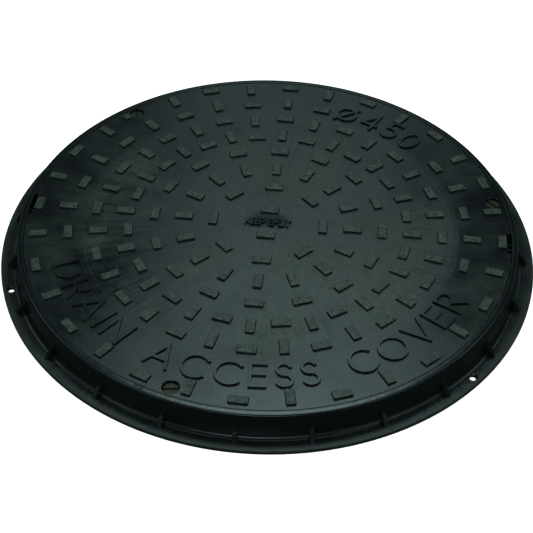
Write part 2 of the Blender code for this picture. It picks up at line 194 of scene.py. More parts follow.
class LetteringSizes(bpy.types.PropertyGroup):
    """The raised lettering: generic words and a nominal size."""

    words: wording("Words", "Lettering along the front", "DRAIN ACCESS COVER")
    words_arc: angle("Words' arc", "How far round the front lettering reaches", 131.5)
    size_mark: wording("Size mark", "Nominal opening in millimetres", "ø450")
    size_mark_arc: angle("Size mark's arc", "How far round the size mark reaches", 28.5)
    size_mark_at: angle("Size mark's place", "Where the size mark's middle is", 59.6)
    baseline: length("Baseline", "Radius of the front lettering's baseline", 220.8)
    size_baseline: length("Size mark's baseline", "Radius of the size mark's baseline", 192.5)
    cap: length("Capitals", "Height of the capitals", 29.5)
    stroke: length("Stroke", "Width of a letter's stroke", 2.9)
    height: length("Relief", "How far the lettering stands up", 2.1)
    centre_words: wording("Centre words", "Words in the middle", "KEEP SHUT")
    centre_cap: length("Centre capitals", "Height of the centre words", 10.0)
    centre_width: length("Centre width", "Width of the centre words", 47.0)
    centre_stroke: length("Centre stroke", "Width of the centre words' strokes", 1.7)
    centre_height: length("Centre relief", "How far the centre words stand up", 2.1)


class ScrewSizes(bpy.types.PropertyGroup):
    """Sizes of the screws and of what holds them."""

    head_h: length("Head height", "Height of a screw's head", 3.5)
    head_edge: length("Head edge", "Round along the head's top edge", 0.6)
    slot_w: length("Drive slot", "Width of the drive slot", 2.0)
    slot_depth: length("Slot depth", "Depth of the drive slot", 1.8)
    shank_r: length("Shank", "Radius over the screw's thread", 4.0)
    thread_depth: length("Thread depth", "Depth of the screw's thread", 0.6)
    lead: length("Lead", "How far a turn moves the screw", 1.25)
    thread_top: length("Thread top", "Height that the thread reaches", 12.5)
    slot_angle_1: angle("Slot 1", "Direction of the first screw's drive slot", 137.0)
    slot_angle_2: angle("Slot 2", "Direction of the second screw's drive slot", 98.5)
    slot_angle_3: angle("Slot 3", "Direction of the third screw's drive slot", 9.0)


class FinishColours(bpy.types.PropertyGroup):
    """Colours of the finishes."""

    plastic: colour("Plastic", "Black moulded polypropylene", (0.0075, 0.0095, 0.0105))
    # The scuff colour is real rubbing and dust, and on the frame's flange edge it is also a painted
    # highlight.
    scuff_and_highlight: colour("Scuffs", "Where the plastic is rubbed", (0.130, 0.148, 0.108))
    rubber: colour("Rubber", "Gasket and seals", (0.012, 0.012, 0.013))
    screw: colour("Screw", "Dull passivated steel", (0.052, 0.053, 0.034))
    # This dark colour paints shade into a screw's slot and round its head's edge; it also gives real stains
    # on the screws and tarnish on the inserts.
    grime_and_shade: colour("Grime", "Dirt in recesses", (0.012, 0.013, 0.010))
    brass: colour("Brass", "Threaded inserts", (0.62, 0.45, 0.20))
    floor: colour("Floor", "Pale studio floor", (0.86, 0.86, 0.86))


class StudioSizes(bpy.types.PropertyGroup):
    """Where the camera stands and how strong the light is."""

    camera: spot("Camera", "Where the camera stands", (0.0918, -0.9195, 0.8469))
    target: spot("Target", "What the camera looks at", (0.0057, -0.0644, 0.0302))
    roll: angle("Roll", "The camera's roll", 1.0)
    lens: strength("Lens", "Focal length in millimetres", 82.0)
    low_box: strength("Low box", "Brightness of the low part of the back softbox", 1.0)
    middle_box: strength("Middle box", "Brightness of its middle part", 1.8)
    high_box: strength("High box", "Brightness of its high part", 3.9)
    roof_box: strength("Roof box", "Brightness of the softbox overhead", 1.2)
    fill_box: strength("Fill boxes", "Brightness of the softboxes round the sides", 0.5)
    surround: strength("Surround", "Strength of the light all round", 0.03)
    light_colour: colour("Light colour", "Colour of the softboxes and the surround", (0.72, 1.0, 1.0))


# Shapes


def rounded(corners, steps=4):
    """Outline through (x, y, radius) corners: each corner is an arc that touches both its sides."""
    outline = []
    count = len(corners)
    for index, (x, y, radius) in enumerate(corners):
        here = np.array((x, y))
        if radius < TINY:
            outline.append(here)
            continue
        before = np.array(corners[index - 1][:2]) - here
        after = np.array(corners[(index + 1) % count][:2]) - here
        before, after = before / np.linalg.norm(before), after / np.linalg.norm(after)
        half = math.acos(np.clip(before @ after, -1, 1)) / 2
        middle = before + after
        centre = here + middle / np.linalg.norm(middle) * radius / math.sin(half)
        start = here + before * radius / math.tan(half) - centre
        end = here + after * radius / math.tan(half) - centre
        sweep = math.atan2(start[0] * end[1] - start[1] * end[0], start @ end)
        turn = math.atan2(start[1], start[0]) + sweep * np.linspace(0, 1, steps + 1)
        outline.extend(centre + radius * np.stack((np.cos(turn), np.sin(turn)), axis=1))
    return np.array(outline)


def inset(outline, distance):
    """A closed outline moved inwards: each point goes along the mitre of its two sides' normals."""
    side = np.roll(outline, -1, axis=0) - outline
    side = side / np.linalg.norm(side, axis=1, keepdims=True)
    normal = np.stack((-side[:, 1], side[:, 0]), axis=1)
    before = np.roll(normal, 1, axis=0)
    mitre = (normal + before) / (1 + np.sum(normal * before, axis=1, keepdims=True))
    return outline + mitre * distance


def grid_faces(rows, columns, row_wrap, column_wrap):
    """Quads of a grid of points, joined up at its ends where it wraps."""
    row = np.arange(rows if row_wrap else rows - 1)[:, None]
    column = np.arange(columns if column_wrap else columns - 1)[None, :]
    next_row, next_column = (row + 1) % rows, (column + 1) % columns
    corners = (
        row * columns + column,
        next_row * columns + column,
        next_row * columns + next_column,
        row * columns + next_column,
    )
    return np.stack(np.broadcast_arrays(*corners), axis=-1).reshape(-1, 4).tolist()


def lathe(profile, steps=AROUND):
    """A profile spun round Z: point (u, v) is the v-th (radius, height) turned by u steps.

    A profile that starts and ends on the axis is closed by a flat disc at each end. Any other is a loop.
    """
    profile = np.asarray(profile, float)
    discs = profile[0, 0] < TINY and profile[-1, 0] < TINY
    if discs:
        profile = profile[1:-1]
    turn = np.arange(steps) * TURN / steps
    points = np.stack(
        (
            np.outer(np.cos(turn), profile[:, 0]),
            np.outer(np.sin(turn), profile[:, 0]),
            np.broadcast_to(profile[:, 1], (steps, len(profile))),
        ),
        axis=-1,
    ).reshape(-1, 3)
    faces = grid_faces(steps, len(profile), True, not discs)
    if discs:
        first = np.arange(steps) * len(profile)
        last = first + len(profile) - 1
        faces += [first.tolist(), last[::-1].tolist()]
    return points, faces


def stack(loops):
    """Closed loops joined side to side in order, with a face over the first and the last."""
    loops = np.asarray(loops, float)
    levels, count = loops.shape[:2]
    faces = grid_faces(levels, count, False, True)
    faces.append(list(range(count))[::-1])
    faces.append(list(range((levels - 1) * count, levels * count)))
    return loops.reshape(-1, 3), faces


def pad(outline, levels):
    """A solid from an outline in XY: at each (inset, height) level the outline is moved in and up."""
    loops = []
    for distance, height in levels:
        loop = inset(outline, distance)
        loops.append(np.column_stack((loop, np.full(len(loop), height))))
    return stack(loops)


def moved(surface, matrix):
    """A surface with every point taken through a matrix."""
    points, faces = surface
    matrix = np.array(matrix)
    return points @ matrix[:3, :3].T + matrix[:3, 3], faces


def joined(surfaces):
    """Several surfaces as one list of points and faces."""
    points, faces, count = [], [], 0
    for some_points, some_faces in surfaces:
        points.append(some_points)
        faces += [[index + count for index in face] for face in some_faces]
        count += len(some_points)
    return np.vstack(points), faces


def rectangle(x_size, y_size, corner=0.0):
    """A rectangle about the origin with round corners, anticlockwise."""
    x, y = x_size / 2, y_size / 2
    return rounded([(-x, -y, corner), (x, -y, corner), (x, y, corner), (-x, y, corner)], 2)


def block(x_range, y_range, z_range):
    """A plain box."""
    centre = Matrix.Translation(((x_range[0] + x_range[1]) / 2, (y_range[0] + y_range[1]) / 2, 0))
    outline = rectangle(x_range[1] - x_range[0], y_range[1] - y_range[0])
    return moved(pad(outline, [(0, z_range[0]), (0, z_range[1])]), centre)


def post(radius, z_range, place, steps=SMALL_AROUND):
    """A round post on an upright axis through place."""
    profile = [(0, z_range[0]), (radius, z_range[0]), (radius, z_range[1]), (0, z_range[1])]
    return moved(lathe(profile, steps), Matrix.Translation(place))


def on_radius(surface, at):
    """A surface turned about Z from the X axis to an angle."""
    return moved(surface, Matrix.Rotation(at, 4, "Z"))


def standing(surface):
    """A surface drawn in XY stood up, so that its X is the radius and its Y is the height."""
    return moved(surface, Matrix.Rotation(math.pi / 2, 4, "X"))


def around(count, first=0.0):
    """Angles evenly spaced round the circle."""
    return [first + index * TURN / count for index in range(count)]


# Pieces from surfaces


def mesh_object(name, surface):
    """An object at the origin with its faces pointing out."""
    points, faces = surface
    mesh = bpy.data.meshes.new(name)
    mesh.from_pydata(points.tolist(), [], faces)
    bm = bmesh.new()
    bm.from_mesh(mesh)
    bmesh.ops.recalc_face_normals(bm, faces=bm.faces)
    bm.to_mesh(mesh)
    bm.free()
    piece = bpy.data.objects.new(name, mesh)
    bpy.context.scene.collection.objects.link(piece)
    return piece


def combine(piece, steps):
    """Joins surfaces to a piece or cuts them away, in order, and keeps only the result's mesh."""
    helpers = []
    for operation, surfaces in steps:
        helper = mesh_object("helper", joined(surfaces))
        helpers.append(helper)
        modifier = piece.modifiers.new("combine", "BOOLEAN")
        modifier.operation = operation
        modifier.object = helper
        modifier.solver = "EXACT"
    evaluated = piece.evaluated_get(bpy.context.evaluated_depsgraph_get())
    mesh = bpy.data.meshes.new_from_object(evaluated)
    piece.modifiers.clear()
    piece.data = mesh
    for helper in helpers:
        bpy.data.objects.remove(helper, do_unlink=True)


def finish_piece(piece, body, material, replaced=None, sharp=32):
    """Shades a piece, gives it its finish and makes it ride on its body."""
    piece.data.shade_smooth()
    piece.data.set_sharp_from_angle(angle=math.radians(sharp))
    weighted = piece.modifiers.new("even shading", "WEIGHTED_NORMAL")
    weighted.keep_sharp = True
    piece.data.materials.clear()
    piece.data.materials.append(material)
    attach(piece, body)
    if replaced:
        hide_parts(replaced)


# Frame


def frame_profile(sizes):
    """The ring frame's section: flange, flared rim, seat and downstand."""
    foot = sizes.rim_outer + sizes.rim_flare
    under_seat = sizes.seat_top - sizes.seat_t
    channel = sizes.opening + sizes.downstand_t
    soft, fine = 1.2 * MM, 0.5 * MM
    return rounded(
        [
            (FLANGE_R, 0.0, fine),
            (FLANGE_R, sizes.flange_t, soft),
            (foot, sizes.flange_t, sizes.foot_fillet),
            (sizes.rim_outer, RIM_TOP - sizes.rim_crown, sizes.rim_edge),
            (sizes.rim_inner + 1.8 * MM, RIM_TOP, soft),
            (sizes.rim_inner, RIM_TOP, fine),
            (sizes.rim_inner, sizes.seat_top, fine),
            (sizes.opening, sizes.seat_top, fine),
            (sizes.opening, 0.0, fine),
            (channel, 0.0, fine),
            (channel, under_seat, soft),
            (sizes.rim_inner, under_seat, soft),
            (sizes.rim_inner, 0.0, fine),
        ],
        5,
    )


def gussets(sizes):
    """Plates that brace the rim: an outline in radius and height, thinner towards both faces' edges."""
    foot = sizes.rim_outer + sizes.rim_flare
    buried = 1.5 * MM
    outline = rounded(
        [
            (sizes.rim_outer - buried, sizes.flange_t - buried, 0),
            (FLANGE_R - sizes.gusset_margin, sizes.flange_t - buried, 0),
            (foot + sizes.gusset_knee_out, sizes.flange_t + sizes.gusset_knee_up, 2.5 * MM),
            (sizes.rim_outer - buried, sizes.flange_t + sizes.gusset_head, 0),
        ],
        3,
    )
    half, soft = sizes.gusset_t / 2, 0.5 * MM
    plate = standing(pad(outline, [(soft, -half), (0, soft - half), (0, half - soft), (soft, half)]))
    return [on_radius(plate, at) for at in around(sizes.gussets)]


def frame_underside(sizes):
    """Webs across the channel under the seat, and the bosses that hold the inserts."""
    raise_web = 1.0 * MM
    web_t = 3.0 * MM
    high = sizes.seat_top - sizes.seat_t + raise_web
    inner = sizes.opening + sizes.downstand_t - raise_web
    web = block((inner, sizes.rim_inner + raise_web), (-web_t / 2, web_t / 2), (raise_web, high))
    webs = [on_radius(web, at) for at in around(sizes.gussets)]
    boss_wall = 3.2 * MM
    bosses = []
    for number in SCREW_NUMBERS:
        radius = half_width(f"threaded_insert_{number}") + boss_wall
        bosses.append(post(radius, (raise_web / 2, sizes.seat_top - raise_web), screw_place(number)))
    return webs, bosses


def frame_holes(sizes):
    """The insert pockets, and the fixing holes with their countersinks."""
    gap = 0.3 * MM
    pockets = []
    for number in SCREW_NUMBERS:
        insert = f"threaded_insert_{number}"
        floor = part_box(insert)[0].z - gap
        pockets.append(post(half_width(insert) + gap, (floor, RIM_TOP), screw_place(number)))
    past = 1.0 * MM
    sink_depth = sizes.hole_sink_r - sizes.hole_r
    section = [
        (0, -past),
        (sizes.hole_r, -past),
        (sizes.hole_r, sizes.flange_t - sink_depth),
        (sizes.hole_sink_r + past, sizes.flange_t + past),
        (0, sizes.flange_t + past),
    ]
    hole = lathe(section, SMALL_AROUND)
    hole = moved(hole, Matrix.Translation((FLANGE_R - sizes.hole_inset, 0, 0)))
    return pockets, [on_radius(hole, at) for at in around(3, sizes.hole_angle)]


class MANHOLE_OT_frame(bpy.types.Operator):
    """Build the ring frame: flange, flared rim, gussets, seat and fixing holes"""

    bl_idname = "manhole.frame"
    bl_label = "Ring frame"

    def execute(self, context):
        sizes = context.scene.manhole_frame
        piece = mesh_object("ring_frame", lathe(frame_profile(sizes)))
        webs, bosses = frame_underside(sizes)
        pockets, holes = frame_holes(sizes)
        combine(
            piece,
            [
                ("UNION", gussets(sizes)),
                ("UNION", webs),
                ("UNION", bosses),
                ("DIFFERENCE", pockets),
                ("DIFFERENCE", holes),
            ],
        )
        finish_piece(piece, "frame", frame_plastic(context.scene), "frame")
        return {"FINISHED"}


# Cover


def cover_shell(sizes):
    """The cover's plate and skirt, as a section from pole to pole."""
    top = RIM_TOP - sizes.drop
    inner = COVER_R - sizes.skirt_t
    underside = top - sizes.plate_t
    fine = 0.5 * MM
    corners = [
        (0, top, 0),
        (COVER_R, top, sizes.edge),
        (COVER_R, COVER_BASE, fine),
        (inner, COVER_BASE, fine),
        (inner, underside, 1.5 * MM),
        (0, underside, 0),
    ]
    return lathe(rounded(corners))


def cover_ribs(sizes):
    """Ring ribs, straight ribs and screw bosses under the plate."""
    plate = RIM_TOP - sizes.drop - sizes.plate_t
    buried = 1.0 * MM
    edge = 0.5 * MM
    rings = []
    for index in range(sizes.rib_rings):
        outer = sizes.rib_outer - index * sizes.rib_pitch
        inner = outer - sizes.rib_t
        low, high = RIB_UNDERSIDE, plate + buried
        corners = [(outer, low, edge), (outer, high, 0), (inner, high, 0), (inner, low, edge)]
        rings.append(lathe(rounded(corners, 2), AROUND // 2))
    inner = sizes.rib_outer - (sizes.rib_rings - 1) * sizes.rib_pitch - sizes.rib_t / 2
    over_seat = sizes.rib_outer - sizes.rib_t / 2
    skirt = COVER_R - sizes.skirt_t + buried
    low, step, high = RIB_UNDERSIDE + buried, COVER_BASE + buried, plate + buried
    outline = np.array(
        [(inner, low), (over_seat, low), (over_seat, step), (skirt, step), (skirt, high), (inner, high)]
    )
    spoke = standing(pad(outline, [(0, -sizes.rib_t / 2), (0, sizes.rib_t / 2)]))
    spokes = [on_radius(spoke, at) for at in around(sizes.rib_spokes)]
    boss_wall = 2.5 * MM
    bosses = []
    for number in SCREW_NUMBERS:
        place = screw_place(number)
        reach = COVER_R - sizes.skirt_t + 2 * buried - place.xy.length
        radius = recess_radius(sizes) + boss_wall
        turn = np.linspace(0, TURN, SMALL_AROUND, endpoint=False)
        outline = np.stack((np.minimum(radius * np.cos(turn), reach), radius * np.sin(turn)), axis=1)
        boss = pad(outline, [(0, COVER_BASE + buried / 2), (0, high)])
        at = math.atan2(place.y, place.x)
        bosses.append(on_radius(moved(boss, Matrix.Translation((place.xy.length, 0, 0))), at))
    return rings, spokes, bosses


def slot_blocks(sizes):
    """The blocks of plastic that the lifting slots are sunk into."""
    wall = 3.5 * MM
    buried = 1.0 * MM
    outer = COVER_R - sizes.skirt_t + buried
    inner = COVER_R - sizes.slot_w - wall
    half = sizes.slot_l / 2 + wall
    high = RIM_TOP - sizes.drop - sizes.plate_t + buried
    solid = block((inner, outer), (-half, half), (COVER_BASE + buried / 2, high))
    return [on_radius(solid, at) for at in around(2)]


def recess_radius(sizes):
    """The radius of a screw's recess in the cover."""
    return half_width("screw_1") + sizes.recess_gap


def cover_cuts(sizes, screws):
    """Screw recesses with a soft lip, screw holes, and lifting slots with their pockets."""
    top = RIM_TOP - sizes.drop
    past = STUD_TOP + 1.0 * MM
    lip = 0.5 * MM
    radius = recess_radius(sizes)
    section = [(0, sizes.recess_floor), (radius, sizes.recess_floor), (radius, top - lip)]
    section += [(radius + lip + past - top, past), (0, past)]
    recess = lathe(section, SMALL_AROUND)
    recesses = [moved(recess, Matrix.Translation(screw_place(n))) for n in SCREW_NUMBERS]
    hole = screws.shank_r + sizes.hole_gap
    holes = [post(hole, (RIB_UNDERSIDE, sizes.recess_floor + lip), screw_place(n)) for n in SCREW_NUMBERS]
    inner = COVER_R - sizes.slot_w
    outer = COVER_R + 1.0 * MM
    half = sizes.slot_l / 2
    web_top = top - sizes.slot_web_drop
    slot = block((inner, outer), (-half, half), (web_top, past))
    pitch = (sizes.slot_l + sizes.slot_web_t) / (sizes.slot_webs + 1)
    starts = [-half + index * pitch for index in range(sizes.slot_webs + 1)]
    pockets = [
        block((inner, outer), (start, start + pitch - sizes.slot_web_t), (sizes.slot_base, web_top + lip))
        for start in starts
    ]
    slots = [on_radius(slot, at) for at in around(2)]
    pockets = [on_radius(pocket, at) for at in around(2) for pocket in pockets]
    return recesses, holes, slots, pockets


# Tread


def ring_columns(radius, closest):
    """How many columns of studs a ring has: doubled for as long as they don't crowd."""
    columns = 8
    while TURN * radius / (2 * columns) >= closest:
        columns *= 2
    return columns


def lettered(at, letters):
    """True where the studs of the lettered ring leave room for the raised lettering."""
    margin = math.radians(2)
    front = abs(math.remainder(at - FRONT, TURN)) <= letters.words_arc / 2 + margin
    back = abs(math.remainder(at - letters.size_mark_at, TURN)) <= letters.size_mark_arc / 2 + margin
    return front or back


def stud_places(tread, cover, letters):
    """(radius, angle, length, lies along the radius) for each stud, as on the cover's CAD node."""
    for at in (BACK, FRONT):
        yield tread.centre_pair, at, tread.stud_l, False
    lip = 0.4 * MM
    rings = int((tread.last_ring - tread.centre_pair) / tread.ring_pitch)
    finest = ring_columns(tread.last_ring, tread.closest)
    for ring in range(rings):
        from_edge = rings - 1 - ring
        radius = tread.last_ring - from_edge * tread.ring_pitch
        for column in range(0, finest, finest // ring_columns(radius, tread.closest)):
            at = BACK + column * TURN / finest
            if from_edge == 1 and lettered(at, letters):
                continue
            odd = column % 2
            along = (ring + odd) % 2 == 1
            if not along and on_screw(radius, at):
                beside = (recess_radius(cover) + lip + tread.stud_l / 4) / radius
                yield radius, at + beside, tread.stud_l / 2, along
            else:
                yield radius - odd * tread.odd_set_in, at, tread.stud_l, along


def on_screw(radius, at):
    """True where a stud's middle would be on a screw's head."""
    reach = 8 * MM
    middle = Vector((radius * math.cos(at), radius * math.sin(at), 0))
    return any((middle - screw_place(number)).length < reach for number in SCREW_NUMBERS)


def studs(tread, cover, letters):
    """Raised studs: a rectangle with round corners that leans in and rounds over as it rises."""
    top = RIM_TOP - cover.drop
    edge = tread.stud_edge
    foot = 0.3 * MM
    levels = [
        (-foot, top - SINK),
        (-foot, top),
        (-0.3 * foot, top + 0.3 * foot),
        (0.0, top + foot),
        (tread.stud_draft, STUD_TOP - edge),
        (tread.stud_draft + 0.3 * edge, STUD_TOP - 0.3 * edge),
        (tread.stud_draft + edge, STUD_TOP),
    ]
    made = []
    for radius, at, size, along in stud_places(tread, cover, letters):
        x_size, y_size = (size, tread.stud_w) if along else (tread.stud_w, size)
        stud = pad(rectangle(x_size, y_size, tread.stud_corner), levels)
        made.append(on_radius(moved(stud, Matrix.Translation((radius, 0, 0))), at))
    return made


# Lettering: each letter is a few strokes in a box one unit high


def line(*points):
    """A stroke of straight runs."""
    return np.array(points, float)


def arc(x, y, x_radius, y_radius, start, end):
    """A stroke along an ellipse, from one angle to another in degrees."""
    turn = np.radians(np.linspace(start, end, max(4, int(abs(end - start) / 9)) + 1))
    return np.stack((x + x_radius * np.cos(turn), y + y_radius * np.sin(turn)), axis=1)


def oval(width, height):
    """A closed ring of two strokes that stands on the line."""
    x, y = width / 2, height / 2
    return [arc(x, y, x, y, 0, 180), arc(x, y, x, y, 180, 360)]


def letter_strokes(letter):
    """(width, strokes) of a letter, drawn thin and geometric."""
    stem = line((0, 0), (0, 1))
    bowl = [stem, line((0, 1), (0.3, 1)), arc(0.3, 0.74, 0.26, 0.26, 90, -90), line((0, 0.48), (0.3, 0.48))]
    drawn = {
        " ": (0.45, []),
        "A": (0.86, [line((0, 0), (0.43, 1)), line((0.43, 1), (0.86, 0)), line((0.14, 0.32), (0.72, 0.32))]),
        "C": (0.84, [arc(0.5, 0.5, 0.5, 0.5, 46, 314)]),
        "D": (
            0.76,
            [stem, arc(0.26, 0.5, 0.5, 0.5, 90, -90), line((0, 1), (0.27, 1)), line((0, 0), (0.27, 0))],
        ),
        "E": (0.52, [stem, line((0, 1), (0.52, 1)), line((0, 0.53), (0.48, 0.53)), line((0, 0), (0.52, 0))]),
        "H": (0.72, [stem, line((0.72, 0), (0.72, 1)), line((0, 0.53), (0.72, 0.53))]),
        "I": (0.0, [stem]),
        "K": (0.62, [stem, line((0.6, 0.99), (0.02, 0.42)), line((0.19, 0.57), (0.62, 0))]),
        "N": (0.74, [stem, line((0.02, 0.98), (0.72, 0.02)), line((0.74, 0), (0.74, 1))]),
        "O": (1.0, oval(1.0, 1.0)),
        "P": (0.56, bowl),
        "R": (0.6, [*bowl, line((0.24, 0.48), (0.6, 0))]),
        "S": (0.52, [arc(0.27, 0.75, 0.24, 0.25, 28, 270), arc(0.25, 0.25, 0.27, 0.25, 90, -150)]),
        "T": (0.62, [line((0, 1), (0.62, 1)), line((0.31, 0.98), (0.31, 0))]),
        "U": (
            0.66,
            [line((0, 1), (0, 0.32)), arc(0.33, 0.33, 0.33, 0.33, 180, 360), line((0.66, 0.32), (0.66, 1))],
        ),
        "V": (0.82, [line((0, 1), (0.41, 0)), line((0.41, 0), (0.82, 1))]),
        "ø": (0.8, [*oval(0.8, 0.8), line((0.02, -0.06), (0.78, 0.86))]),
        "0": (0.62, oval(0.62, 1.0)),
        "4": (0.66, [line((0.5, 0), (0.5, 1)), line((0.49, 0.98), (0, 0.27)), line((0, 0.27), (0.66, 0.27))]),
        "5": (
            0.56,
            [
                line((0.52, 1), (0.12, 1)),
                line((0.12, 1), (0.05, 0.56)),
                arc(0.24, 0.31, 0.32, 0.31, 128, -140),
            ],
        ),
    }
    return drawn[letter]


def ribbon(path, width):
    """A stroke's outline: its path moved half a width to each side, with square ends."""
    run = np.diff(path, axis=0)
    run = run / np.linalg.norm(run, axis=1, keepdims=True)
    before, after = np.vstack((run[:1], run)), np.vstack((run, run[-1:]))
    along = (before + after) / (1 + np.sum(before * after, axis=1, keepdims=True))
    across = np.stack((-along[:, 1], along[:, 0]), axis=1) * width / 2
    reach = np.zeros_like(path)
    reach[0], reach[-1] = -run[0] * width / 2, run[-1] * width / 2
    return np.vstack((path + reach - across, (path + reach + across)[::-1]))


def relief(outlines, levels):
    """Overlapping outlines as one raised solid.

    Their union is filled. At each (inset, height) level its border goes in along the mitres of its sides.
    """
    sharpest = 0.4  # limits the mitre at a sharp corner
    merge = 1e-6  # points that are closer than this become one
    points = np.vstack(outlines)
    starts = np.cumsum([0] + [len(outline) for outline in outlines])
    rings = [list(range(a, b)) for a, b in zip(starts[:-1], starts[1:])]
    corners = [Vector(point) for point in points.tolist()]
    found, _, faces, _, _, owners = delaunay_2d_cdt(corners, [], rings, 1, merge)
    flat = np.array([tuple(point) for point in found])
    inside = [list(face) for face, owner in zip(faces, owners) if owner]
    edges = {(a, b) for face in inside for a, b in zip(face, face[1:] + face[:1])}
    after = {a: b for a, b in edges if (b, a) not in edges}
    before = {b: a for a, b in after.items()}
    border = np.array(sorted(after))
    ahead = flat[[after[i] for i in border]] - flat[border]
    behind = flat[border] - flat[[before[i] for i in border]]
    ahead, behind = (v / np.linalg.norm(v, axis=1, keepdims=True) for v in (ahead, behind))
    joint = np.maximum(1 + np.sum(ahead * behind, axis=1, keepdims=True), sharpest)
    mitre = np.stack((-(ahead + behind)[:, 1], (ahead + behind)[:, 0]), axis=1) / joint
    layers = []
    for distance, height in levels:
        layer = flat.copy()
        layer[border] += mitre * distance
        layers.append(np.column_stack((layer, np.full(len(layer), height))))
    count = len(flat)
    made = [face[::-1] for face in inside]
    made += [[index + (len(levels) - 1) * count for index in face] for face in inside]
    for level in range(len(levels) - 1):
        low, high = level * count, (level + 1) * count
        made += [[a + low, b + low, b + high, a + high] for a, b in after.items()]
    return used_only(np.vstack(layers), made)


def used_only(points, faces):
    """A surface without the points that none of its faces use."""
    used = sorted({index for face in faces for index in face})
    place = {index: new for new, index in enumerate(used)}
    return points[used], [[place[index] for index in face] for face in faces]


def raised_letter(letter, cap, stroke, levels):
    """A letter standing up from the cover, its middle over the origin and its foot on the X axis."""
    width, strokes = letter_strokes(letter)
    body = cap - stroke
    shift = np.array((-width * body / 2, stroke / 2))
    return relief([ribbon(path * body, stroke) + shift for path in strokes], levels)


def letter_levels(face, height):
    """(inset, height) steps of a letter: an upright side with a draft, then a rounded edge."""
    draft, edge, drop = 0.1 * MM, 0.3 * MM, 0.15 * MM
    return [(-draft, face - SINK), (-draft, face), (draft, face + height - drop), (edge, face + height)]


def spaced(text, body, total):
    """The middle of each letter along a line of a total length, with equal gaps between them."""
    widths = [letter_strokes(letter)[0] * body for letter in text]
    gap = (total - sum(widths)) / (len(text) - 1)
    middles, reach = [], -total / 2
    for width in widths:
        middles.append(reach + width / 2)
        reach += width + gap
    return middles


def arc_lettering(text, letters, face, baseline, middle, span, tops_out):
    """Letters on an arc, each turned to stand on it, reading clockwise where their tops point out."""
    levels = letter_levels(face, letters.height)
    body = letters.cap - letters.stroke
    made = []
    for letter, along in zip(text, spaced(text, body, baseline * span)):
        if letter == " ":
            continue
        way = -1 if tops_out else 1
        at = middle + way * along / baseline
        place = Matrix.Translation((baseline * math.cos(at), baseline * math.sin(at), 0))
        turn = Matrix.Rotation(at + way * math.pi / 2, 4, "Z")
        made.append(moved(raised_letter(letter, letters.cap, letters.stroke, levels), place @ turn))
    return made


def lettering(letters, face):
    """All the raised lettering."""
    front = (letters.baseline, FRONT, letters.words_arc)
    back = (letters.size_baseline, letters.size_mark_at, letters.size_mark_arc)
    words = arc_lettering(letters.words, letters, face, *front, tops_out=False)
    size_mark = arc_lettering(letters.size_mark, letters, face, *back, tops_out=True)
    levels = letter_levels(face, letters.centre_height)
    body = letters.centre_cap - letters.centre_stroke
    total = letters.centre_width - letters.centre_stroke
    centre = []
    for letter, along in zip(letters.centre_words, spaced(letters.centre_words, body, total)):
        if letter == " ":
            continue
        shape = raised_letter(letter, letters.centre_cap, letters.centre_stroke, levels)
        centre.append(moved(shape, Matrix.Translation((along, -letters.centre_cap / 2, 0))))
    return words + size_mark + centre


class MANHOLE_OT_cover(bpy.types.Operator):
    """Build the cover: plate, skirt, ribs, screw recesses and lifting slots"""

    bl_idname = "manhole.cover"
    bl_label = "Cover"

    def execute(self, context):
        scene = context.scene
        sizes = scene.manhole_cover
        piece = mesh_object("cover_plate", cover_shell(sizes))
        rings, spokes, bosses = cover_ribs(sizes)
        recesses, holes, slots, pockets = cover_cuts(sizes, scene.manhole_screws)
        combine(
            piece,
            [
                ("UNION", rings),
                ("UNION", spokes),
                ("UNION", bosses),
                ("UNION", slot_blocks(sizes)),
                ("DIFFERENCE", recesses),
                ("DIFFERENCE", holes),
                ("DIFFERENCE", slots),
                ("DIFFERENCE", pockets),
            ],
        )
        finish_piece(piece, "cover", cover_plastic(scene), "cover")
        return {"FINISHED"}


class MANHOLE_OT_tread(bpy.types.Operator):
    """Build the raised studs of the tread"""

    bl_idname = "manhole.tread"
    bl_label = "Tread studs"

    def execute(self, context):
        scene = context.scene
        made = studs(scene.manhole_tread, scene.manhole_cover, scene.manhole_letters)
        piece = mesh_object("tread_studs", joined(made))
        finish_piece(piece, "cover", tread_plastic(scene))
        return {"FINISHED"}


class MANHOLE_OT_lettering(bpy.types.Operator):
    """Build the raised lettering"""

    bl_idname = "manhole.lettering"
    bl_label = "Lettering"

    def execute(self, context):
        scene = context.scene
        made = lettering(scene.manhole_letters, RIM_TOP - scene.manhole_cover.drop)
        piece = mesh_object("raised_lettering", joined(made))
        finish_piece(piece, "cover", cover_plastic(scene))
        return {"FINISHED"}


# Gasket, screws, seals and inserts


class MANHOLE_OT_gasket(bpy.types.Operator):
    """Build the gasket: a flat rubber ring with two beads and three screw holes"""

    bl_idname = "manhole.gasket"
    bl_label = "Gasket"

    def execute(self, context):
        low, high = GASKET_LOW.z, GASKET_HIGH.z
        width, dip, columns = 19.2 * MM, 0.35 * MM, 41
        outer = GASKET_HIGH.y
        inner = outer - width
        across = np.linspace(0, 1, columns)
        beads = dip * (1 - np.abs(np.cos(TURN * across)) ** 3)
        face = np.stack((outer + (inner - outer) * across, high - beads), axis=1)
        piece = mesh_object("seat_gasket", lathe(np.vstack(([(inner, low), (outer, low)], face))))
        gap, past = 1.5 * MM, 1.0 * MM
        radius = context.scene.manhole_screws.shank_r + gap
        holes = [post(radius, (low - past, high + past), screw_place(number)) for number in SCREW_NUMBERS]
        combine(piece, [("DIFFERENCE", holes)])
        finish_piece(piece, "frame", rubber(context.scene), "gasket")
        return {"FINISHED"}


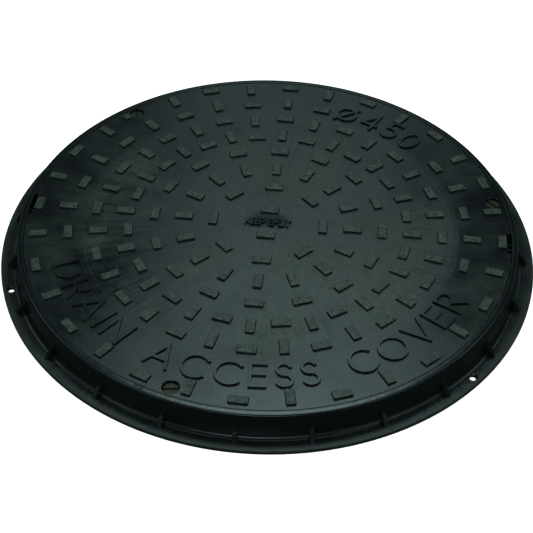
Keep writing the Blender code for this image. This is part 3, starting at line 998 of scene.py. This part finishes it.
def threaded(surface, sizes, low, high, depth):
    """A turned surface with a thread cut into it: the radius falls by a ridge that climbs a lead a turn."""
    points, faces = surface
    points = points.copy()
    radius = np.hypot(points[:, 0], points[:, 1])
    turn = np.arctan2(points[:, 1], points[:, 0]) / TURN
    phase = (points[:, 2] / sizes.lead - turn) % 1
    fade = np.clip((points[:, 2] - low) / MM, 0, 1) * np.clip((high - points[:, 2]) / MM, 0, 1)
    near = 0.7 * MM  # only points this close to the shank's surface belong to the thread
    cut = depth * np.abs(2 * phase - 1) * fade * (np.abs(radius - sizes.shank_r) < near)
    points[:, :2] *= ((radius - cut) / np.maximum(radius, TINY))[:, None]
    return points, faces


def screw_surface(sizes, number):
    """A cheese-headed screw: its section spun, with a thread on the lower shank."""
    low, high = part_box(f"screw_{number}")
    head_r = half_width(f"screw_{number}")
    under = high.z - sizes.head_h
    tip, edge, step, thread_rows = 1.0 * MM, 0.3 * MM, 0.1 * MM, 90
    rows = np.linspace(sizes.thread_top, low.z + tip, thread_rows)
    shank = np.stack((np.full(len(rows), sizes.shank_r), rows), axis=1)
    head = rounded(
        [
            (0, high.z, 0),
            (head_r, high.z, sizes.head_edge),
            (head_r, under, edge),
            (sizes.shank_r, under, 0),
            (sizes.shank_r, sizes.thread_top + step, 0),
        ]
    )
    foot = [(sizes.shank_r - tip, low.z), (0, low.z)]
    turned = lathe(np.vstack((head, shank, foot)), SMALL_AROUND)
    return threaded(turned, sizes, low.z, sizes.thread_top, sizes.thread_depth)


class MANHOLE_OT_screws(bpy.types.Operator):
    """Build the three slotted screws"""

    bl_idname = "manhole.screws"
    bl_label = "Screws"

    def execute(self, context):
        sizes = context.scene.manhole_screws
        for number in SCREW_NUMBERS:
            place = Matrix.Translation(screw_place(number))
            piece = mesh_object(f"slotted_screw_{number}", moved(screw_surface(sizes, number), place))
            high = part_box(f"screw_{number}")[1].z
            reach = 10 * MM  # past the head on both sides
            cut = block(
                (-reach, reach),
                (-sizes.slot_w / 2, sizes.slot_w / 2),
                (high - sizes.slot_depth, high + sizes.slot_depth),
            )
            turn = Matrix.Rotation(getattr(sizes, f"slot_angle_{number}"), 4, "Z")
            combine(piece, [("DIFFERENCE", [moved(cut, place @ turn)])])
            metal = screw_metal(context.scene, number)
            finish_piece(piece, f"screw_{number}", metal, f"screw_{number}")
        return {"FINISHED"}


class MANHOLE_OT_seals(bpy.types.Operator):
    """Build the rubber rings under the screws' heads"""

    bl_idname = "manhole.seals"
    bl_label = "Screw seals"

    def execute(self, context):
        material = rubber(context.scene)
        fullness, sides = 1.1, 16  # the cord swells a little past the gap that it fills
        for number in SCREW_NUMBERS:
            low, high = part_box(f"screw_seal_{number}")
            cord = (high.z - low.z) / 2 * fullness
            middle = (high.x - low.x) / 2 - cord
            turn = np.linspace(0, TURN, sides, endpoint=False)
            section = (middle + cord * np.cos(turn), (low.z + high.z) / 2 + cord * np.sin(turn))
            ring = lathe(np.stack(section, axis=1), SMALL_AROUND)
            ring = moved(ring, Matrix.Translation(screw_place(number)))
            piece = mesh_object(f"head_seal_{number}", ring)
            finish_piece(piece, f"seal_{number}", material, f"screw_seal_{number}")
        return {"FINISHED"}


class MANHOLE_OT_inserts(bpy.types.Operator):
    """Build the knurled brass inserts"""

    bl_idname = "manhole.inserts"
    bl_label = "Threaded inserts"

    def execute(self, context):
        sizes = context.scene.manhole_screws
        material = brass(context.scene)
        bore = sizes.shank_r + 0.3 * MM
        edge, depth, near = 0.4 * MM, 0.35 * MM, 0.1 * MM
        knurls, bore_rows, outer_rows = 24, 60, 24
        for number in SCREW_NUMBERS:
            low, high = (corner.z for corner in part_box(f"threaded_insert_{number}"))
            outer = half_width(f"threaded_insert_{number}")
            down = np.linspace(high - edge, low + edge, bore_rows)
            up = np.linspace(low + edge, high - edge, outer_rows)
            profile = np.vstack(
                (
                    [(bore + edge, high)],
                    np.stack((np.full(bore_rows, bore), down), axis=1),
                    [(bore + edge, low), (outer - edge, low)],
                    np.stack((np.full(outer_rows, outer), up), axis=1),
                    [(outer - edge, high)],
                )
            )
            points, faces = lathe(profile, 4 * knurls)
            radius = np.hypot(points[:, 0], points[:, 1])
            turn = np.arctan2(points[:, 1], points[:, 0])
            band = np.abs(np.sin(TURN * (points[:, 2] - low) / (high - low)))
            ridge = (1 + np.cos(knurls * turn)) / 2
            cut = depth * ridge * band * (radius > outer - near)
            phase = (points[:, 2] / sizes.lead - turn / TURN) % 1
            groove = depth * np.abs(2 * phase - 1) * (np.abs(radius - bore) < near)
            points[:, :2] *= ((radius - cut + groove) / radius)[:, None]
            place = Matrix.Translation(screw_place(number))
            piece = mesh_object(f"knurled_insert_{number}", moved((points, faces), place))
            finish_piece(piece, "frame", material, f"threaded_insert_{number}", 45)
        return {"FINISHED"}


# Finishes


class Signal:
    """A shader socket that can be written in sums: each sign adds a Math node."""

    def __init__(self, finish, socket):
        self.finish = finish
        self.socket = socket

    def math(self, operation, *values, clamp=False):
        """A Math node on some values."""
        settings = {"operation": operation, "use_clamp": clamp}
        return self.finish.signal("ShaderNodeMath", settings, dict(enumerate(values)))

    def __add__(self, other):
        return self.math("ADD", self, other)

    def __radd__(self, other):
        return self.math("ADD", other, self)

    def __sub__(self, other):
        return self.math("SUBTRACT", self, other)

    def __rsub__(self, other):
        return self.math("SUBTRACT", other, self)

    def __mul__(self, other):
        return self.math("MULTIPLY", self, other)

    def __rmul__(self, other):
        return self.math("MULTIPLY", other, self)

    def __truediv__(self, other):
        return self.math("DIVIDE", self, other)

    def __pow__(self, other):
        return self.math("POWER", self, other)

    def clamped(self):
        """The value kept between 0 and 1."""
        return self.math("ADD", self, 0.0, clamp=True)

    def away(self, distance, softness):
        """0 near zero and 1 further from it than a distance, over a soft width."""
        return self.math("ABSOLUTE", self).above(distance, softness)

    def above(self, edge, softness):
        """0 below an edge and 1 above it, over a soft width."""
        return self.math("DIVIDE", self - (edge - softness / 2), softness, clamp=True)


class Finish:
    """A material under construction, with one method for every kind of node."""

    def __init__(self, name):
        self.material = bpy.data.materials.new(name)
        self.material.use_nodes = True
        self.tree = self.material.node_tree
        self.shader = self.tree.nodes["Principled BSDF"]
        self.place = self.node("ShaderNodeTexCoord").outputs["Object"]

    def node(self, kind, settings=None, sockets=None):
        """Adds a node: its settings are set first, then its sockets' values or links."""
        made = self.tree.nodes.new(kind)
        for name, value in (settings or {}).items():
            if name == "stops":
                self.set_stops(made.color_ramp, value)
            else:
                setattr(made, name, value)
        for name, value in (sockets or {}).items():
            self.feed(made.inputs[name], value)
        return made

    def feed(self, socket, value):
        """Sets a socket's value, or links what drives it."""
        if isinstance(value, Signal):
            value = value.socket
        if isinstance(value, bpy.types.NodeSocket):
            self.tree.links.new(value, socket)
        else:
            socket.default_value = value

    def set_stops(self, ramp, stops):
        """Puts a ramp's stops at (place, level)."""
        while len(ramp.elements) < len(stops):
            ramp.elements.new(0.5)
        for element, (place, level) in zip(ramp.elements, stops):
            element.position = place
            element.color = (level, level, level, 1)

    def signal(self, kind, settings=None, sockets=None):
        """Adds a node and gives its first output."""
        return Signal(self, self.node(kind, settings, sockets).outputs[0])

    def axes(self, place=None):
        """X, Y and Z of a place."""
        split = self.node("ShaderNodeSeparateXYZ", None, {0: place or self.place})
        return [Signal(self, split.outputs[axis]) for axis in range(3)]

    def noise(self, scale, detail, rough, place=None):
        """Noise about 0.5, with its scale in features a metre."""
        sockets = {"Vector": place or self.place, "Scale": scale, "Detail": detail, "Roughness": rough}
        return self.signal("ShaderNodeTexNoise", None, sockets)

    def levels(self, value, stops):
        """A value taken through a ramp of (place, level) stops."""
        return self.signal("ShaderNodeValToRGB", {"stops": stops}, {"Fac": value})

    def vector(self, x, y, z):
        """Three values as one place."""
        return self.signal("ShaderNodeCombineXYZ", None, {0: x, 1: y, 2: z})

    def colours(self, factor, low, high):
        """A mix of two plain colours: the low one at 0 and the high one at 1."""
        sockets = {"Factor": factor, 6: (*low, 1.0), 7: (*high, 1.0)}
        return self.node("ShaderNodeMix", {"data_type": "RGBA"}, sockets).outputs[2]

    def bump(self, height, depth):
        """Bump of a real depth in metres, where the height runs from 0 to 1."""
        bump = self.node("ShaderNodeBump", None, {"Height": height, "Strength": 1.0, "Distance": depth})
        self.feed(self.shader.inputs["Normal"], bump.outputs["Normal"])

    def set(self, **values):
        """Sets the shader's sockets by name, with _ for a space."""
        for name, value in values.items():
            self.feed(self.shader.inputs[name.replace("_", " ")], value)
        return self.material


def polar(finish):
    """(radius, east, north, height): east and north are the direction from the axis, of length 1."""
    x, y, z = finish.axes()
    radius = (x * x + y * y + TINY) ** 0.5
    return radius, x / radius, y / radius, z


def cover_marks(finish):
    """What every moulded face of the cover shares: (radius, height, blotches, streaks, grain).

    The streaks run outwards near the edge and turn into plain rubs towards the middle.
    """
    radius, east, north, height = polar(finish)
    long = finish.noise(1.0, 4.0, 0.65, finish.vector(east * 24, north * 24, radius * 12))
    fine = finish.noise(1.0, 2.0, 0.7, finish.vector(east * 110, north * 110, radius * 26))
    rubs = finish.noise(95.0, 3.0, 0.7)
    outward = radius.above(100 * MM, 80 * MM)
    streaks = (long * 0.6 + fine * 0.4) * outward + (rubs * 0.6 + long * 0.4) * (1 - outward)
    blotches = finish.noise(19.0, 5.0, 0.65)
    grain = finish.noise(700.0, 2.0, 0.6)
    return radius, height, blotches, streaks, grain


def cover_plastic(scene):
    """Black polypropylene with flow marks from the middle, rubbed and dusty inside, glossier outside."""
    colours, words = scene.manhole_colours, scene.manhole_letters
    finish = Finish("cover_polypropylene")
    radius, height, blotches, streaks, grain = cover_marks(finish)
    x, y, _ = finish.axes()
    across = 1 - x.away(words.centre_width * 0.4, 14 * MM)
    plaque = across * (1 - (y - 5 * MM).away(7 * MM, 16 * MM))  # the dull patch round the centre words
    front = 1 - y.above(-30 * MM, 120 * MM)
    on_top = height.above(RIM_TOP - 1.6 * MM, 1.4 * MM)
    inner_field = on_top * (1 - radius.above(183 * MM, 20 * MM))
    smear = finish.levels(blotches * 0.42 + streaks * 0.58, [(0.44, 0.0), (0.56, 1.0)])
    patches = finish.levels(finish.noise(11.0, 4.0, 0.6), [(0.47, 0.0), (0.58, 1.0)])
    powder = smear * (0.1 + 0.9 * patches) * (0.12 * on_top + 0.88 * inner_field + 0.04) * (1 - plaque)
    speckle = finish.levels(finish.noise(330.0, 3.0, 0.75), [(0.40, 0.35), (0.60, 1.25)])
    dusty = (powder * speckle * (0.27 + 0.25 * front)).clamped()
    tint = finish.colours(dusty, colours.plastic, colours.scuff_and_highlight)
    rough = 0.24 + 0.03 * inner_field + (streaks - 0.5) * (0.06 + 0.40 * inner_field)
    rough = rough + 0.5 * (blotches - 0.5) + 0.1 * powder + 0.15 * (1 - on_top) + 0.5 * plaque
    waves = finish.noise(9.0, 1.0, 0.4) * (1.5 - 0.6 * inner_field)
    line = (radius.above(187.0 * MM, 0.8 * MM) - radius.above(188.6 * MM, 0.8 * MM)) * 0.03
    finish.bump(waves + grain * 0.05 + streaks * (0.02 + 0.04 * inner_field) + line, 1.0 * MM)
    return finish.set(Base_Color=tint, Roughness=rough.clamped())


def tread_plastic(scene):
    """The same plastic on the studs: their tops are worn to a coarse, paler grain."""
    colours = scene.manhole_colours
    finish = Finish("tread_polypropylene")
    _, height, blotches, _, grain = cover_marks(finish)
    top = height.above(STUD_TOP - 0.5 * MM, 0.5 * MM)
    pits = finish.noise(360.0, 3.0, 0.75)
    worn = (top * finish.levels(pits, [(0.42, 0.05), (0.60, 1.0)]) * (0.4 + blotches)).clamped()
    tint = finish.colours(worn * 0.75, colours.plastic, colours.scuff_and_highlight)
    finish.bump(grain * 0.06 + pits * 0.16 * top, 1.0 * MM)
    rough = 0.34 + 0.1 * top + 0.2 * (blotches - 0.5)
    return finish.set(Base_Color=tint, Roughness=rough.clamped())


def frame_plastic(scene):
    """The same plastic on the frame, smoother, with dust on the flange, a painted highlight along the
    flange's outer edge, and soft flow marks.
    """
    colours = scene.manhole_colours
    finish = Finish("frame_polypropylene")
    radius, east, north, height = polar(finish)
    flow = finish.noise(1.0, 3.0, 0.6, finish.vector(east * 20, north * 20, height * 120))
    blotches = finish.noise(35.0, 4.0, 0.6)
    grain = finish.noise(900.0, 2.0, 0.6)
    flange = 1 - height.above(6 * MM, 4 * MM)
    brink = radius.above(FLANGE_R - 4 * MM, 7 * MM)
    # Scuff colour: a little dust all over, and much more on the flange's outer edge, which is partly dust and
    # partly a painted highlight.
    worn = (0.25 + finish.levels(blotches, [(0.42, 0.0), (0.66, 0.6)])) * (0.03 + 0.25 * brink * flange)
    tint = finish.colours(worn, colours.plastic, colours.scuff_and_highlight)
    rim = height.above(RIM_TOP - 1.2 * MM, 1.0 * MM)
    rough = 0.26 + 0.16 * (blotches - 0.5) + 0.10 * (flow - 0.5) + 0.12 * flange * brink - 0.06 * rim
    finish.bump(flow * 0.3 + grain * 0.06 + blotches * 0.2, 1.0 * MM)
    return finish.set(Base_Color=tint, Roughness=rough.clamped())


def rubber(scene):
    """Sealing rubber with a fine, dusty grain."""
    colours = scene.manhole_colours
    finish = Finish("sealing_rubber")
    grain = finish.noise(1400.0, 2.0, 0.6)
    dust = finish.noise(120.0, 4.0, 0.65)
    dusty = finish.levels(dust, [(0.45, 0.0), (0.8, 1.0)]) * 0.5
    tint = finish.colours(dusty, colours.rubber, colours.scuff_and_highlight)
    finish.bump(grain, 0.06 * MM)
    return finish.set(Base_Color=tint, Roughness=(0.68 + 0.2 * dust).clamped())


def screw_metal(scene, number):
    """Dull passivated steel with turning marks round the head, stains, and painted shade in the slot and
    round the head's edge.
    """
    colours = scene.manhole_colours
    finish = Finish(f"passivated_steel_{number}")
    place = screw_place(number)
    centred = finish.node("ShaderNodeMapping", None, {"Vector": finish.place, "Location": -place})
    x, y, z = finish.axes(centred.outputs[0])
    radius = (x * x + y * y + TINY) ** 0.5
    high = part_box(f"screw_{number}")[1].z
    rings = finish.noise(1.0, 2.0, 0.7, finish.vector(radius * 4200, z * 2600, 0.0))
    stains = finish.noise(380.0, 4.0, 0.65)
    # Painted shade: the colour darkens in the drive slot and round the head's edge, where the recess shades
    # the head; the stains mixed in below are real.
    slot_shade = 1 - z.above(high - 0.9 * MM, 1.0 * MM)
    edge_shade = radius.above(6.6 * MM, 2.2 * MM)
    stained = finish.levels(stains, [(0.42, 0.0), (0.66, 1.0)]) * 0.55
    stains_and_shade = (slot_shade * 0.9 + edge_shade * 0.35 + stained).clamped()
    tint = finish.colours(stains_and_shade, colours.screw, colours.grime_and_shade)
    finish.bump(rings * 0.5 + stains * 0.6, 0.12 * MM)
    return finish.set(
        Base_Color=tint,
        Metallic=(0.85 - 0.6 * stains_and_shade).clamped(),
        Roughness=(0.42 + 0.25 * stains_and_shade + 0.15 * (rings - 0.5)).clamped(),
    )


def brass(scene):
    """Turned brass, a little tarnished."""
    colours = scene.manhole_colours
    finish = Finish("insert_brass")
    tarnish = finish.levels(finish.noise(260.0, 4.0, 0.6), [(0.4, 0.0), (0.7, 1.0)])
    tint = finish.colours(tarnish * 0.5, colours.brass, colours.grime_and_shade)
    finish.bump(finish.noise(2400.0, 1.0, 0.5), 0.03 * MM)
    return finish.set(Base_Color=tint, Metallic=0.95, Roughness=(0.3 + 0.25 * tarnish).clamped())


# Stage

# (name, azimuth east of north and elevation in degrees, size in metres, the setting it follows, its share)
SOFTBOXES = (
    ("low_softbox", -4, 34, (0.85, 0.9), "low_box", 0.55),
    ("middle_softbox", -3, 49, (0.85, 0.75), "middle_box", 0.78),
    ("high_softbox", -4, 62, (1.15, 0.65), "high_box", 1.1),
    ("roof_softbox", 0, 80, (1.5, 0.9), "roof_box", 1.0),
    ("left_softbox", -90, 35, (1.3, 1.3), "fill_box", 0.3),
    ("right_softbox", 90, 35, (1.3, 1.3), "fill_box", 0.6),
    ("front_softbox", 180, 34, (1.5, 1.1), "fill_box", 4.0),
    *((f"quarter_softbox_{at}", at, 43, (1.1, 1.0), "fill_box", 2.2) for at in (-122, -68, 68, 122)),
    *((f"horizon_softbox_{at}", at, 13, (2.4, 0.8), "fill_box", 0.7) for at in (45, 135, 225, 315)),
)


def softbox(name, azimuth, elevation, size, brightness, tint):
    """A rectangular area light that faces the object from an azimuth and an elevation."""
    distance = 3.0  # metres from the object
    azimuth, elevation = math.radians(azimuth), math.radians(elevation)
    level = math.cos(elevation)
    way = Vector((math.sin(azimuth) * level, math.cos(azimuth) * level, math.sin(elevation)))
    light = bpy.data.lights.new(name, "AREA")
    light.shape = "RECTANGLE"
    light.size, light.size_y = size
    light.energy = brightness * math.pi * size[0] * size[1]
    light.color = tint
    lamp = bpy.data.objects.new(name, light)
    lamp.location = way * distance
    lamp.rotation_euler = (-way).to_track_quat("-Z", "Y").to_euler()
    lamp.visible_camera = False
    bpy.context.scene.collection.objects.link(lamp)


def pale_room(studio):
    """A world that is white behind the object and only dimly lights it."""
    world = bpy.data.worlds.new("pale_room")
    world.use_nodes = True
    nodes, links = world.node_tree.nodes, world.node_tree.links
    dim = nodes["Background"]
    dim.inputs["Color"].default_value = (*studio.light_colour, 1.0)
    dim.inputs["Strength"].default_value = studio.surround
    white = nodes.new("ShaderNodeBackground")
    white.inputs["Color"].default_value = (1.0, 1.0, 1.0, 1.0)
    seen = nodes.new("ShaderNodeLightPath")
    mix = nodes.new("ShaderNodeMixShader")
    links.new(seen.outputs["Is Camera Ray"], mix.inputs["Fac"])
    links.new(dim.outputs[0], mix.inputs[1])
    links.new(white.outputs[0], mix.inputs[2])
    links.new(mix.outputs[0], nodes["World Output"].inputs["Surface"])
    return world


class MANHOLE_OT_stage(bpy.types.Operator):
    """Set up the floor, the lights and the camera"""

    bl_idname = "manhole.stage"
    bl_label = "Stage"

    def execute(self, context):
        scene = context.scene
        studio = scene.manhole_studio
        finish = Finish("studio_floor")
        finish.set(
            Base_Color=(*scene.manhole_colours.floor, 1.0),
            Roughness=0.9,
            Emission_Color=(1.0, 1.0, 1.0, 1.0),
            Emission_Strength=1.0,
        )
        reach, below = 40.0, 0.2 * MM  # metres to each side, and under the flange
        corners = np.array([(-reach, -reach, 0), (reach, -reach, 0), (reach, reach, 0), (-reach, reach, 0)])
        floor = mesh_object("studio_floor", (corners - (0, 0, below), [[0, 1, 2, 3]]))
        floor.data.materials.append(finish.material)
        floor.visible_glossy = False
        floor.visible_diffuse = False
        for name, azimuth, elevation, size, setting, share in SOFTBOXES:
            softbox(name, azimuth, elevation, size, share * getattr(studio, setting), studio.light_colour)
        scene.world = pale_room(studio)
        scene.view_settings.view_transform = "Standard"
        lens = bpy.data.cameras.new("camera")
        lens.lens = studio.lens
        lens.sensor_width = 36.0
        lens.clip_start = 0.01
        camera = bpy.data.objects.new("camera", lens)
        camera.location = studio.camera
        look = Vector(studio.target) - Vector(studio.camera)
        aim = look.to_track_quat("-Z", "Y").to_matrix() @ Matrix.Rotation(studio.roll, 3, "Z")
        camera.rotation_euler = aim.to_euler()
        scene.collection.objects.link(camera)
        scene.camera = camera
        return {"FINISHED"}


class MANHOLE_PT_panel(bpy.types.Panel):
    """Lists the pieces and their sizes"""

    bl_idname = "MANHOLE_PT_panel"
    bl_label = "Manhole cover"
    bl_space_type = "VIEW_3D"
    bl_region_type = "UI"
    bl_category = "Manhole"

    def draw(self, context):
        for operator in OPERATORS:
            self.layout.operator(operator.bl_idname)
        for name in GROUPS:
            group = getattr(context.scene, name)
            box = self.layout.box()
            box.label(text=name.replace("manhole_", "").capitalize())
            for key in group.bl_rna.properties.keys():
                if key not in ("rna_type", "name"):
                    box.prop(group, key)


GROUPS = {
    "manhole_frame": FrameSizes,
    "manhole_cover": CoverSizes,
    "manhole_tread": TreadSizes,
    "manhole_letters": LetteringSizes,
    "manhole_screws": ScrewSizes,
    "manhole_colours": FinishColours,
    "manhole_studio": StudioSizes,
}
OPERATORS = (
    MANHOLE_OT_stage,
    MANHOLE_OT_frame,
    MANHOLE_OT_cover,
    MANHOLE_OT_tread,
    MANHOLE_OT_lettering,
    MANHOLE_OT_gasket,
    MANHOLE_OT_screws,
    MANHOLE_OT_seals,
    MANHOLE_OT_inserts,
)


def register():
    for name, group in GROUPS.items():
        bpy.utils.register_class(group)
        setattr(bpy.types.Scene, name, PointerProperty(type=group))
    for made in (*OPERATORS, MANHOLE_PT_panel):
        bpy.utils.register_class(made)


def unregister():
    for made in (MANHOLE_PT_panel, *reversed(OPERATORS)):
        bpy.utils.unregister_class(made)
    for name, group in reversed(GROUPS.items()):
        delattr(bpy.types.Scene, name)
        bpy.utils.unregister_class(group)


def main():
    register()
    bpy.ops.manhole.stage()
    bpy.ops.manhole.frame()
    bpy.ops.manhole.cover()
    bpy.ops.manhole.tread()
    bpy.ops.manhole.lettering()
    bpy.ops.manhole.gasket()
    bpy.ops.manhole.screws()
    bpy.ops.manhole.seals()
    bpy.ops.manhole.inserts()


if __name__ == "__main__":
    main()
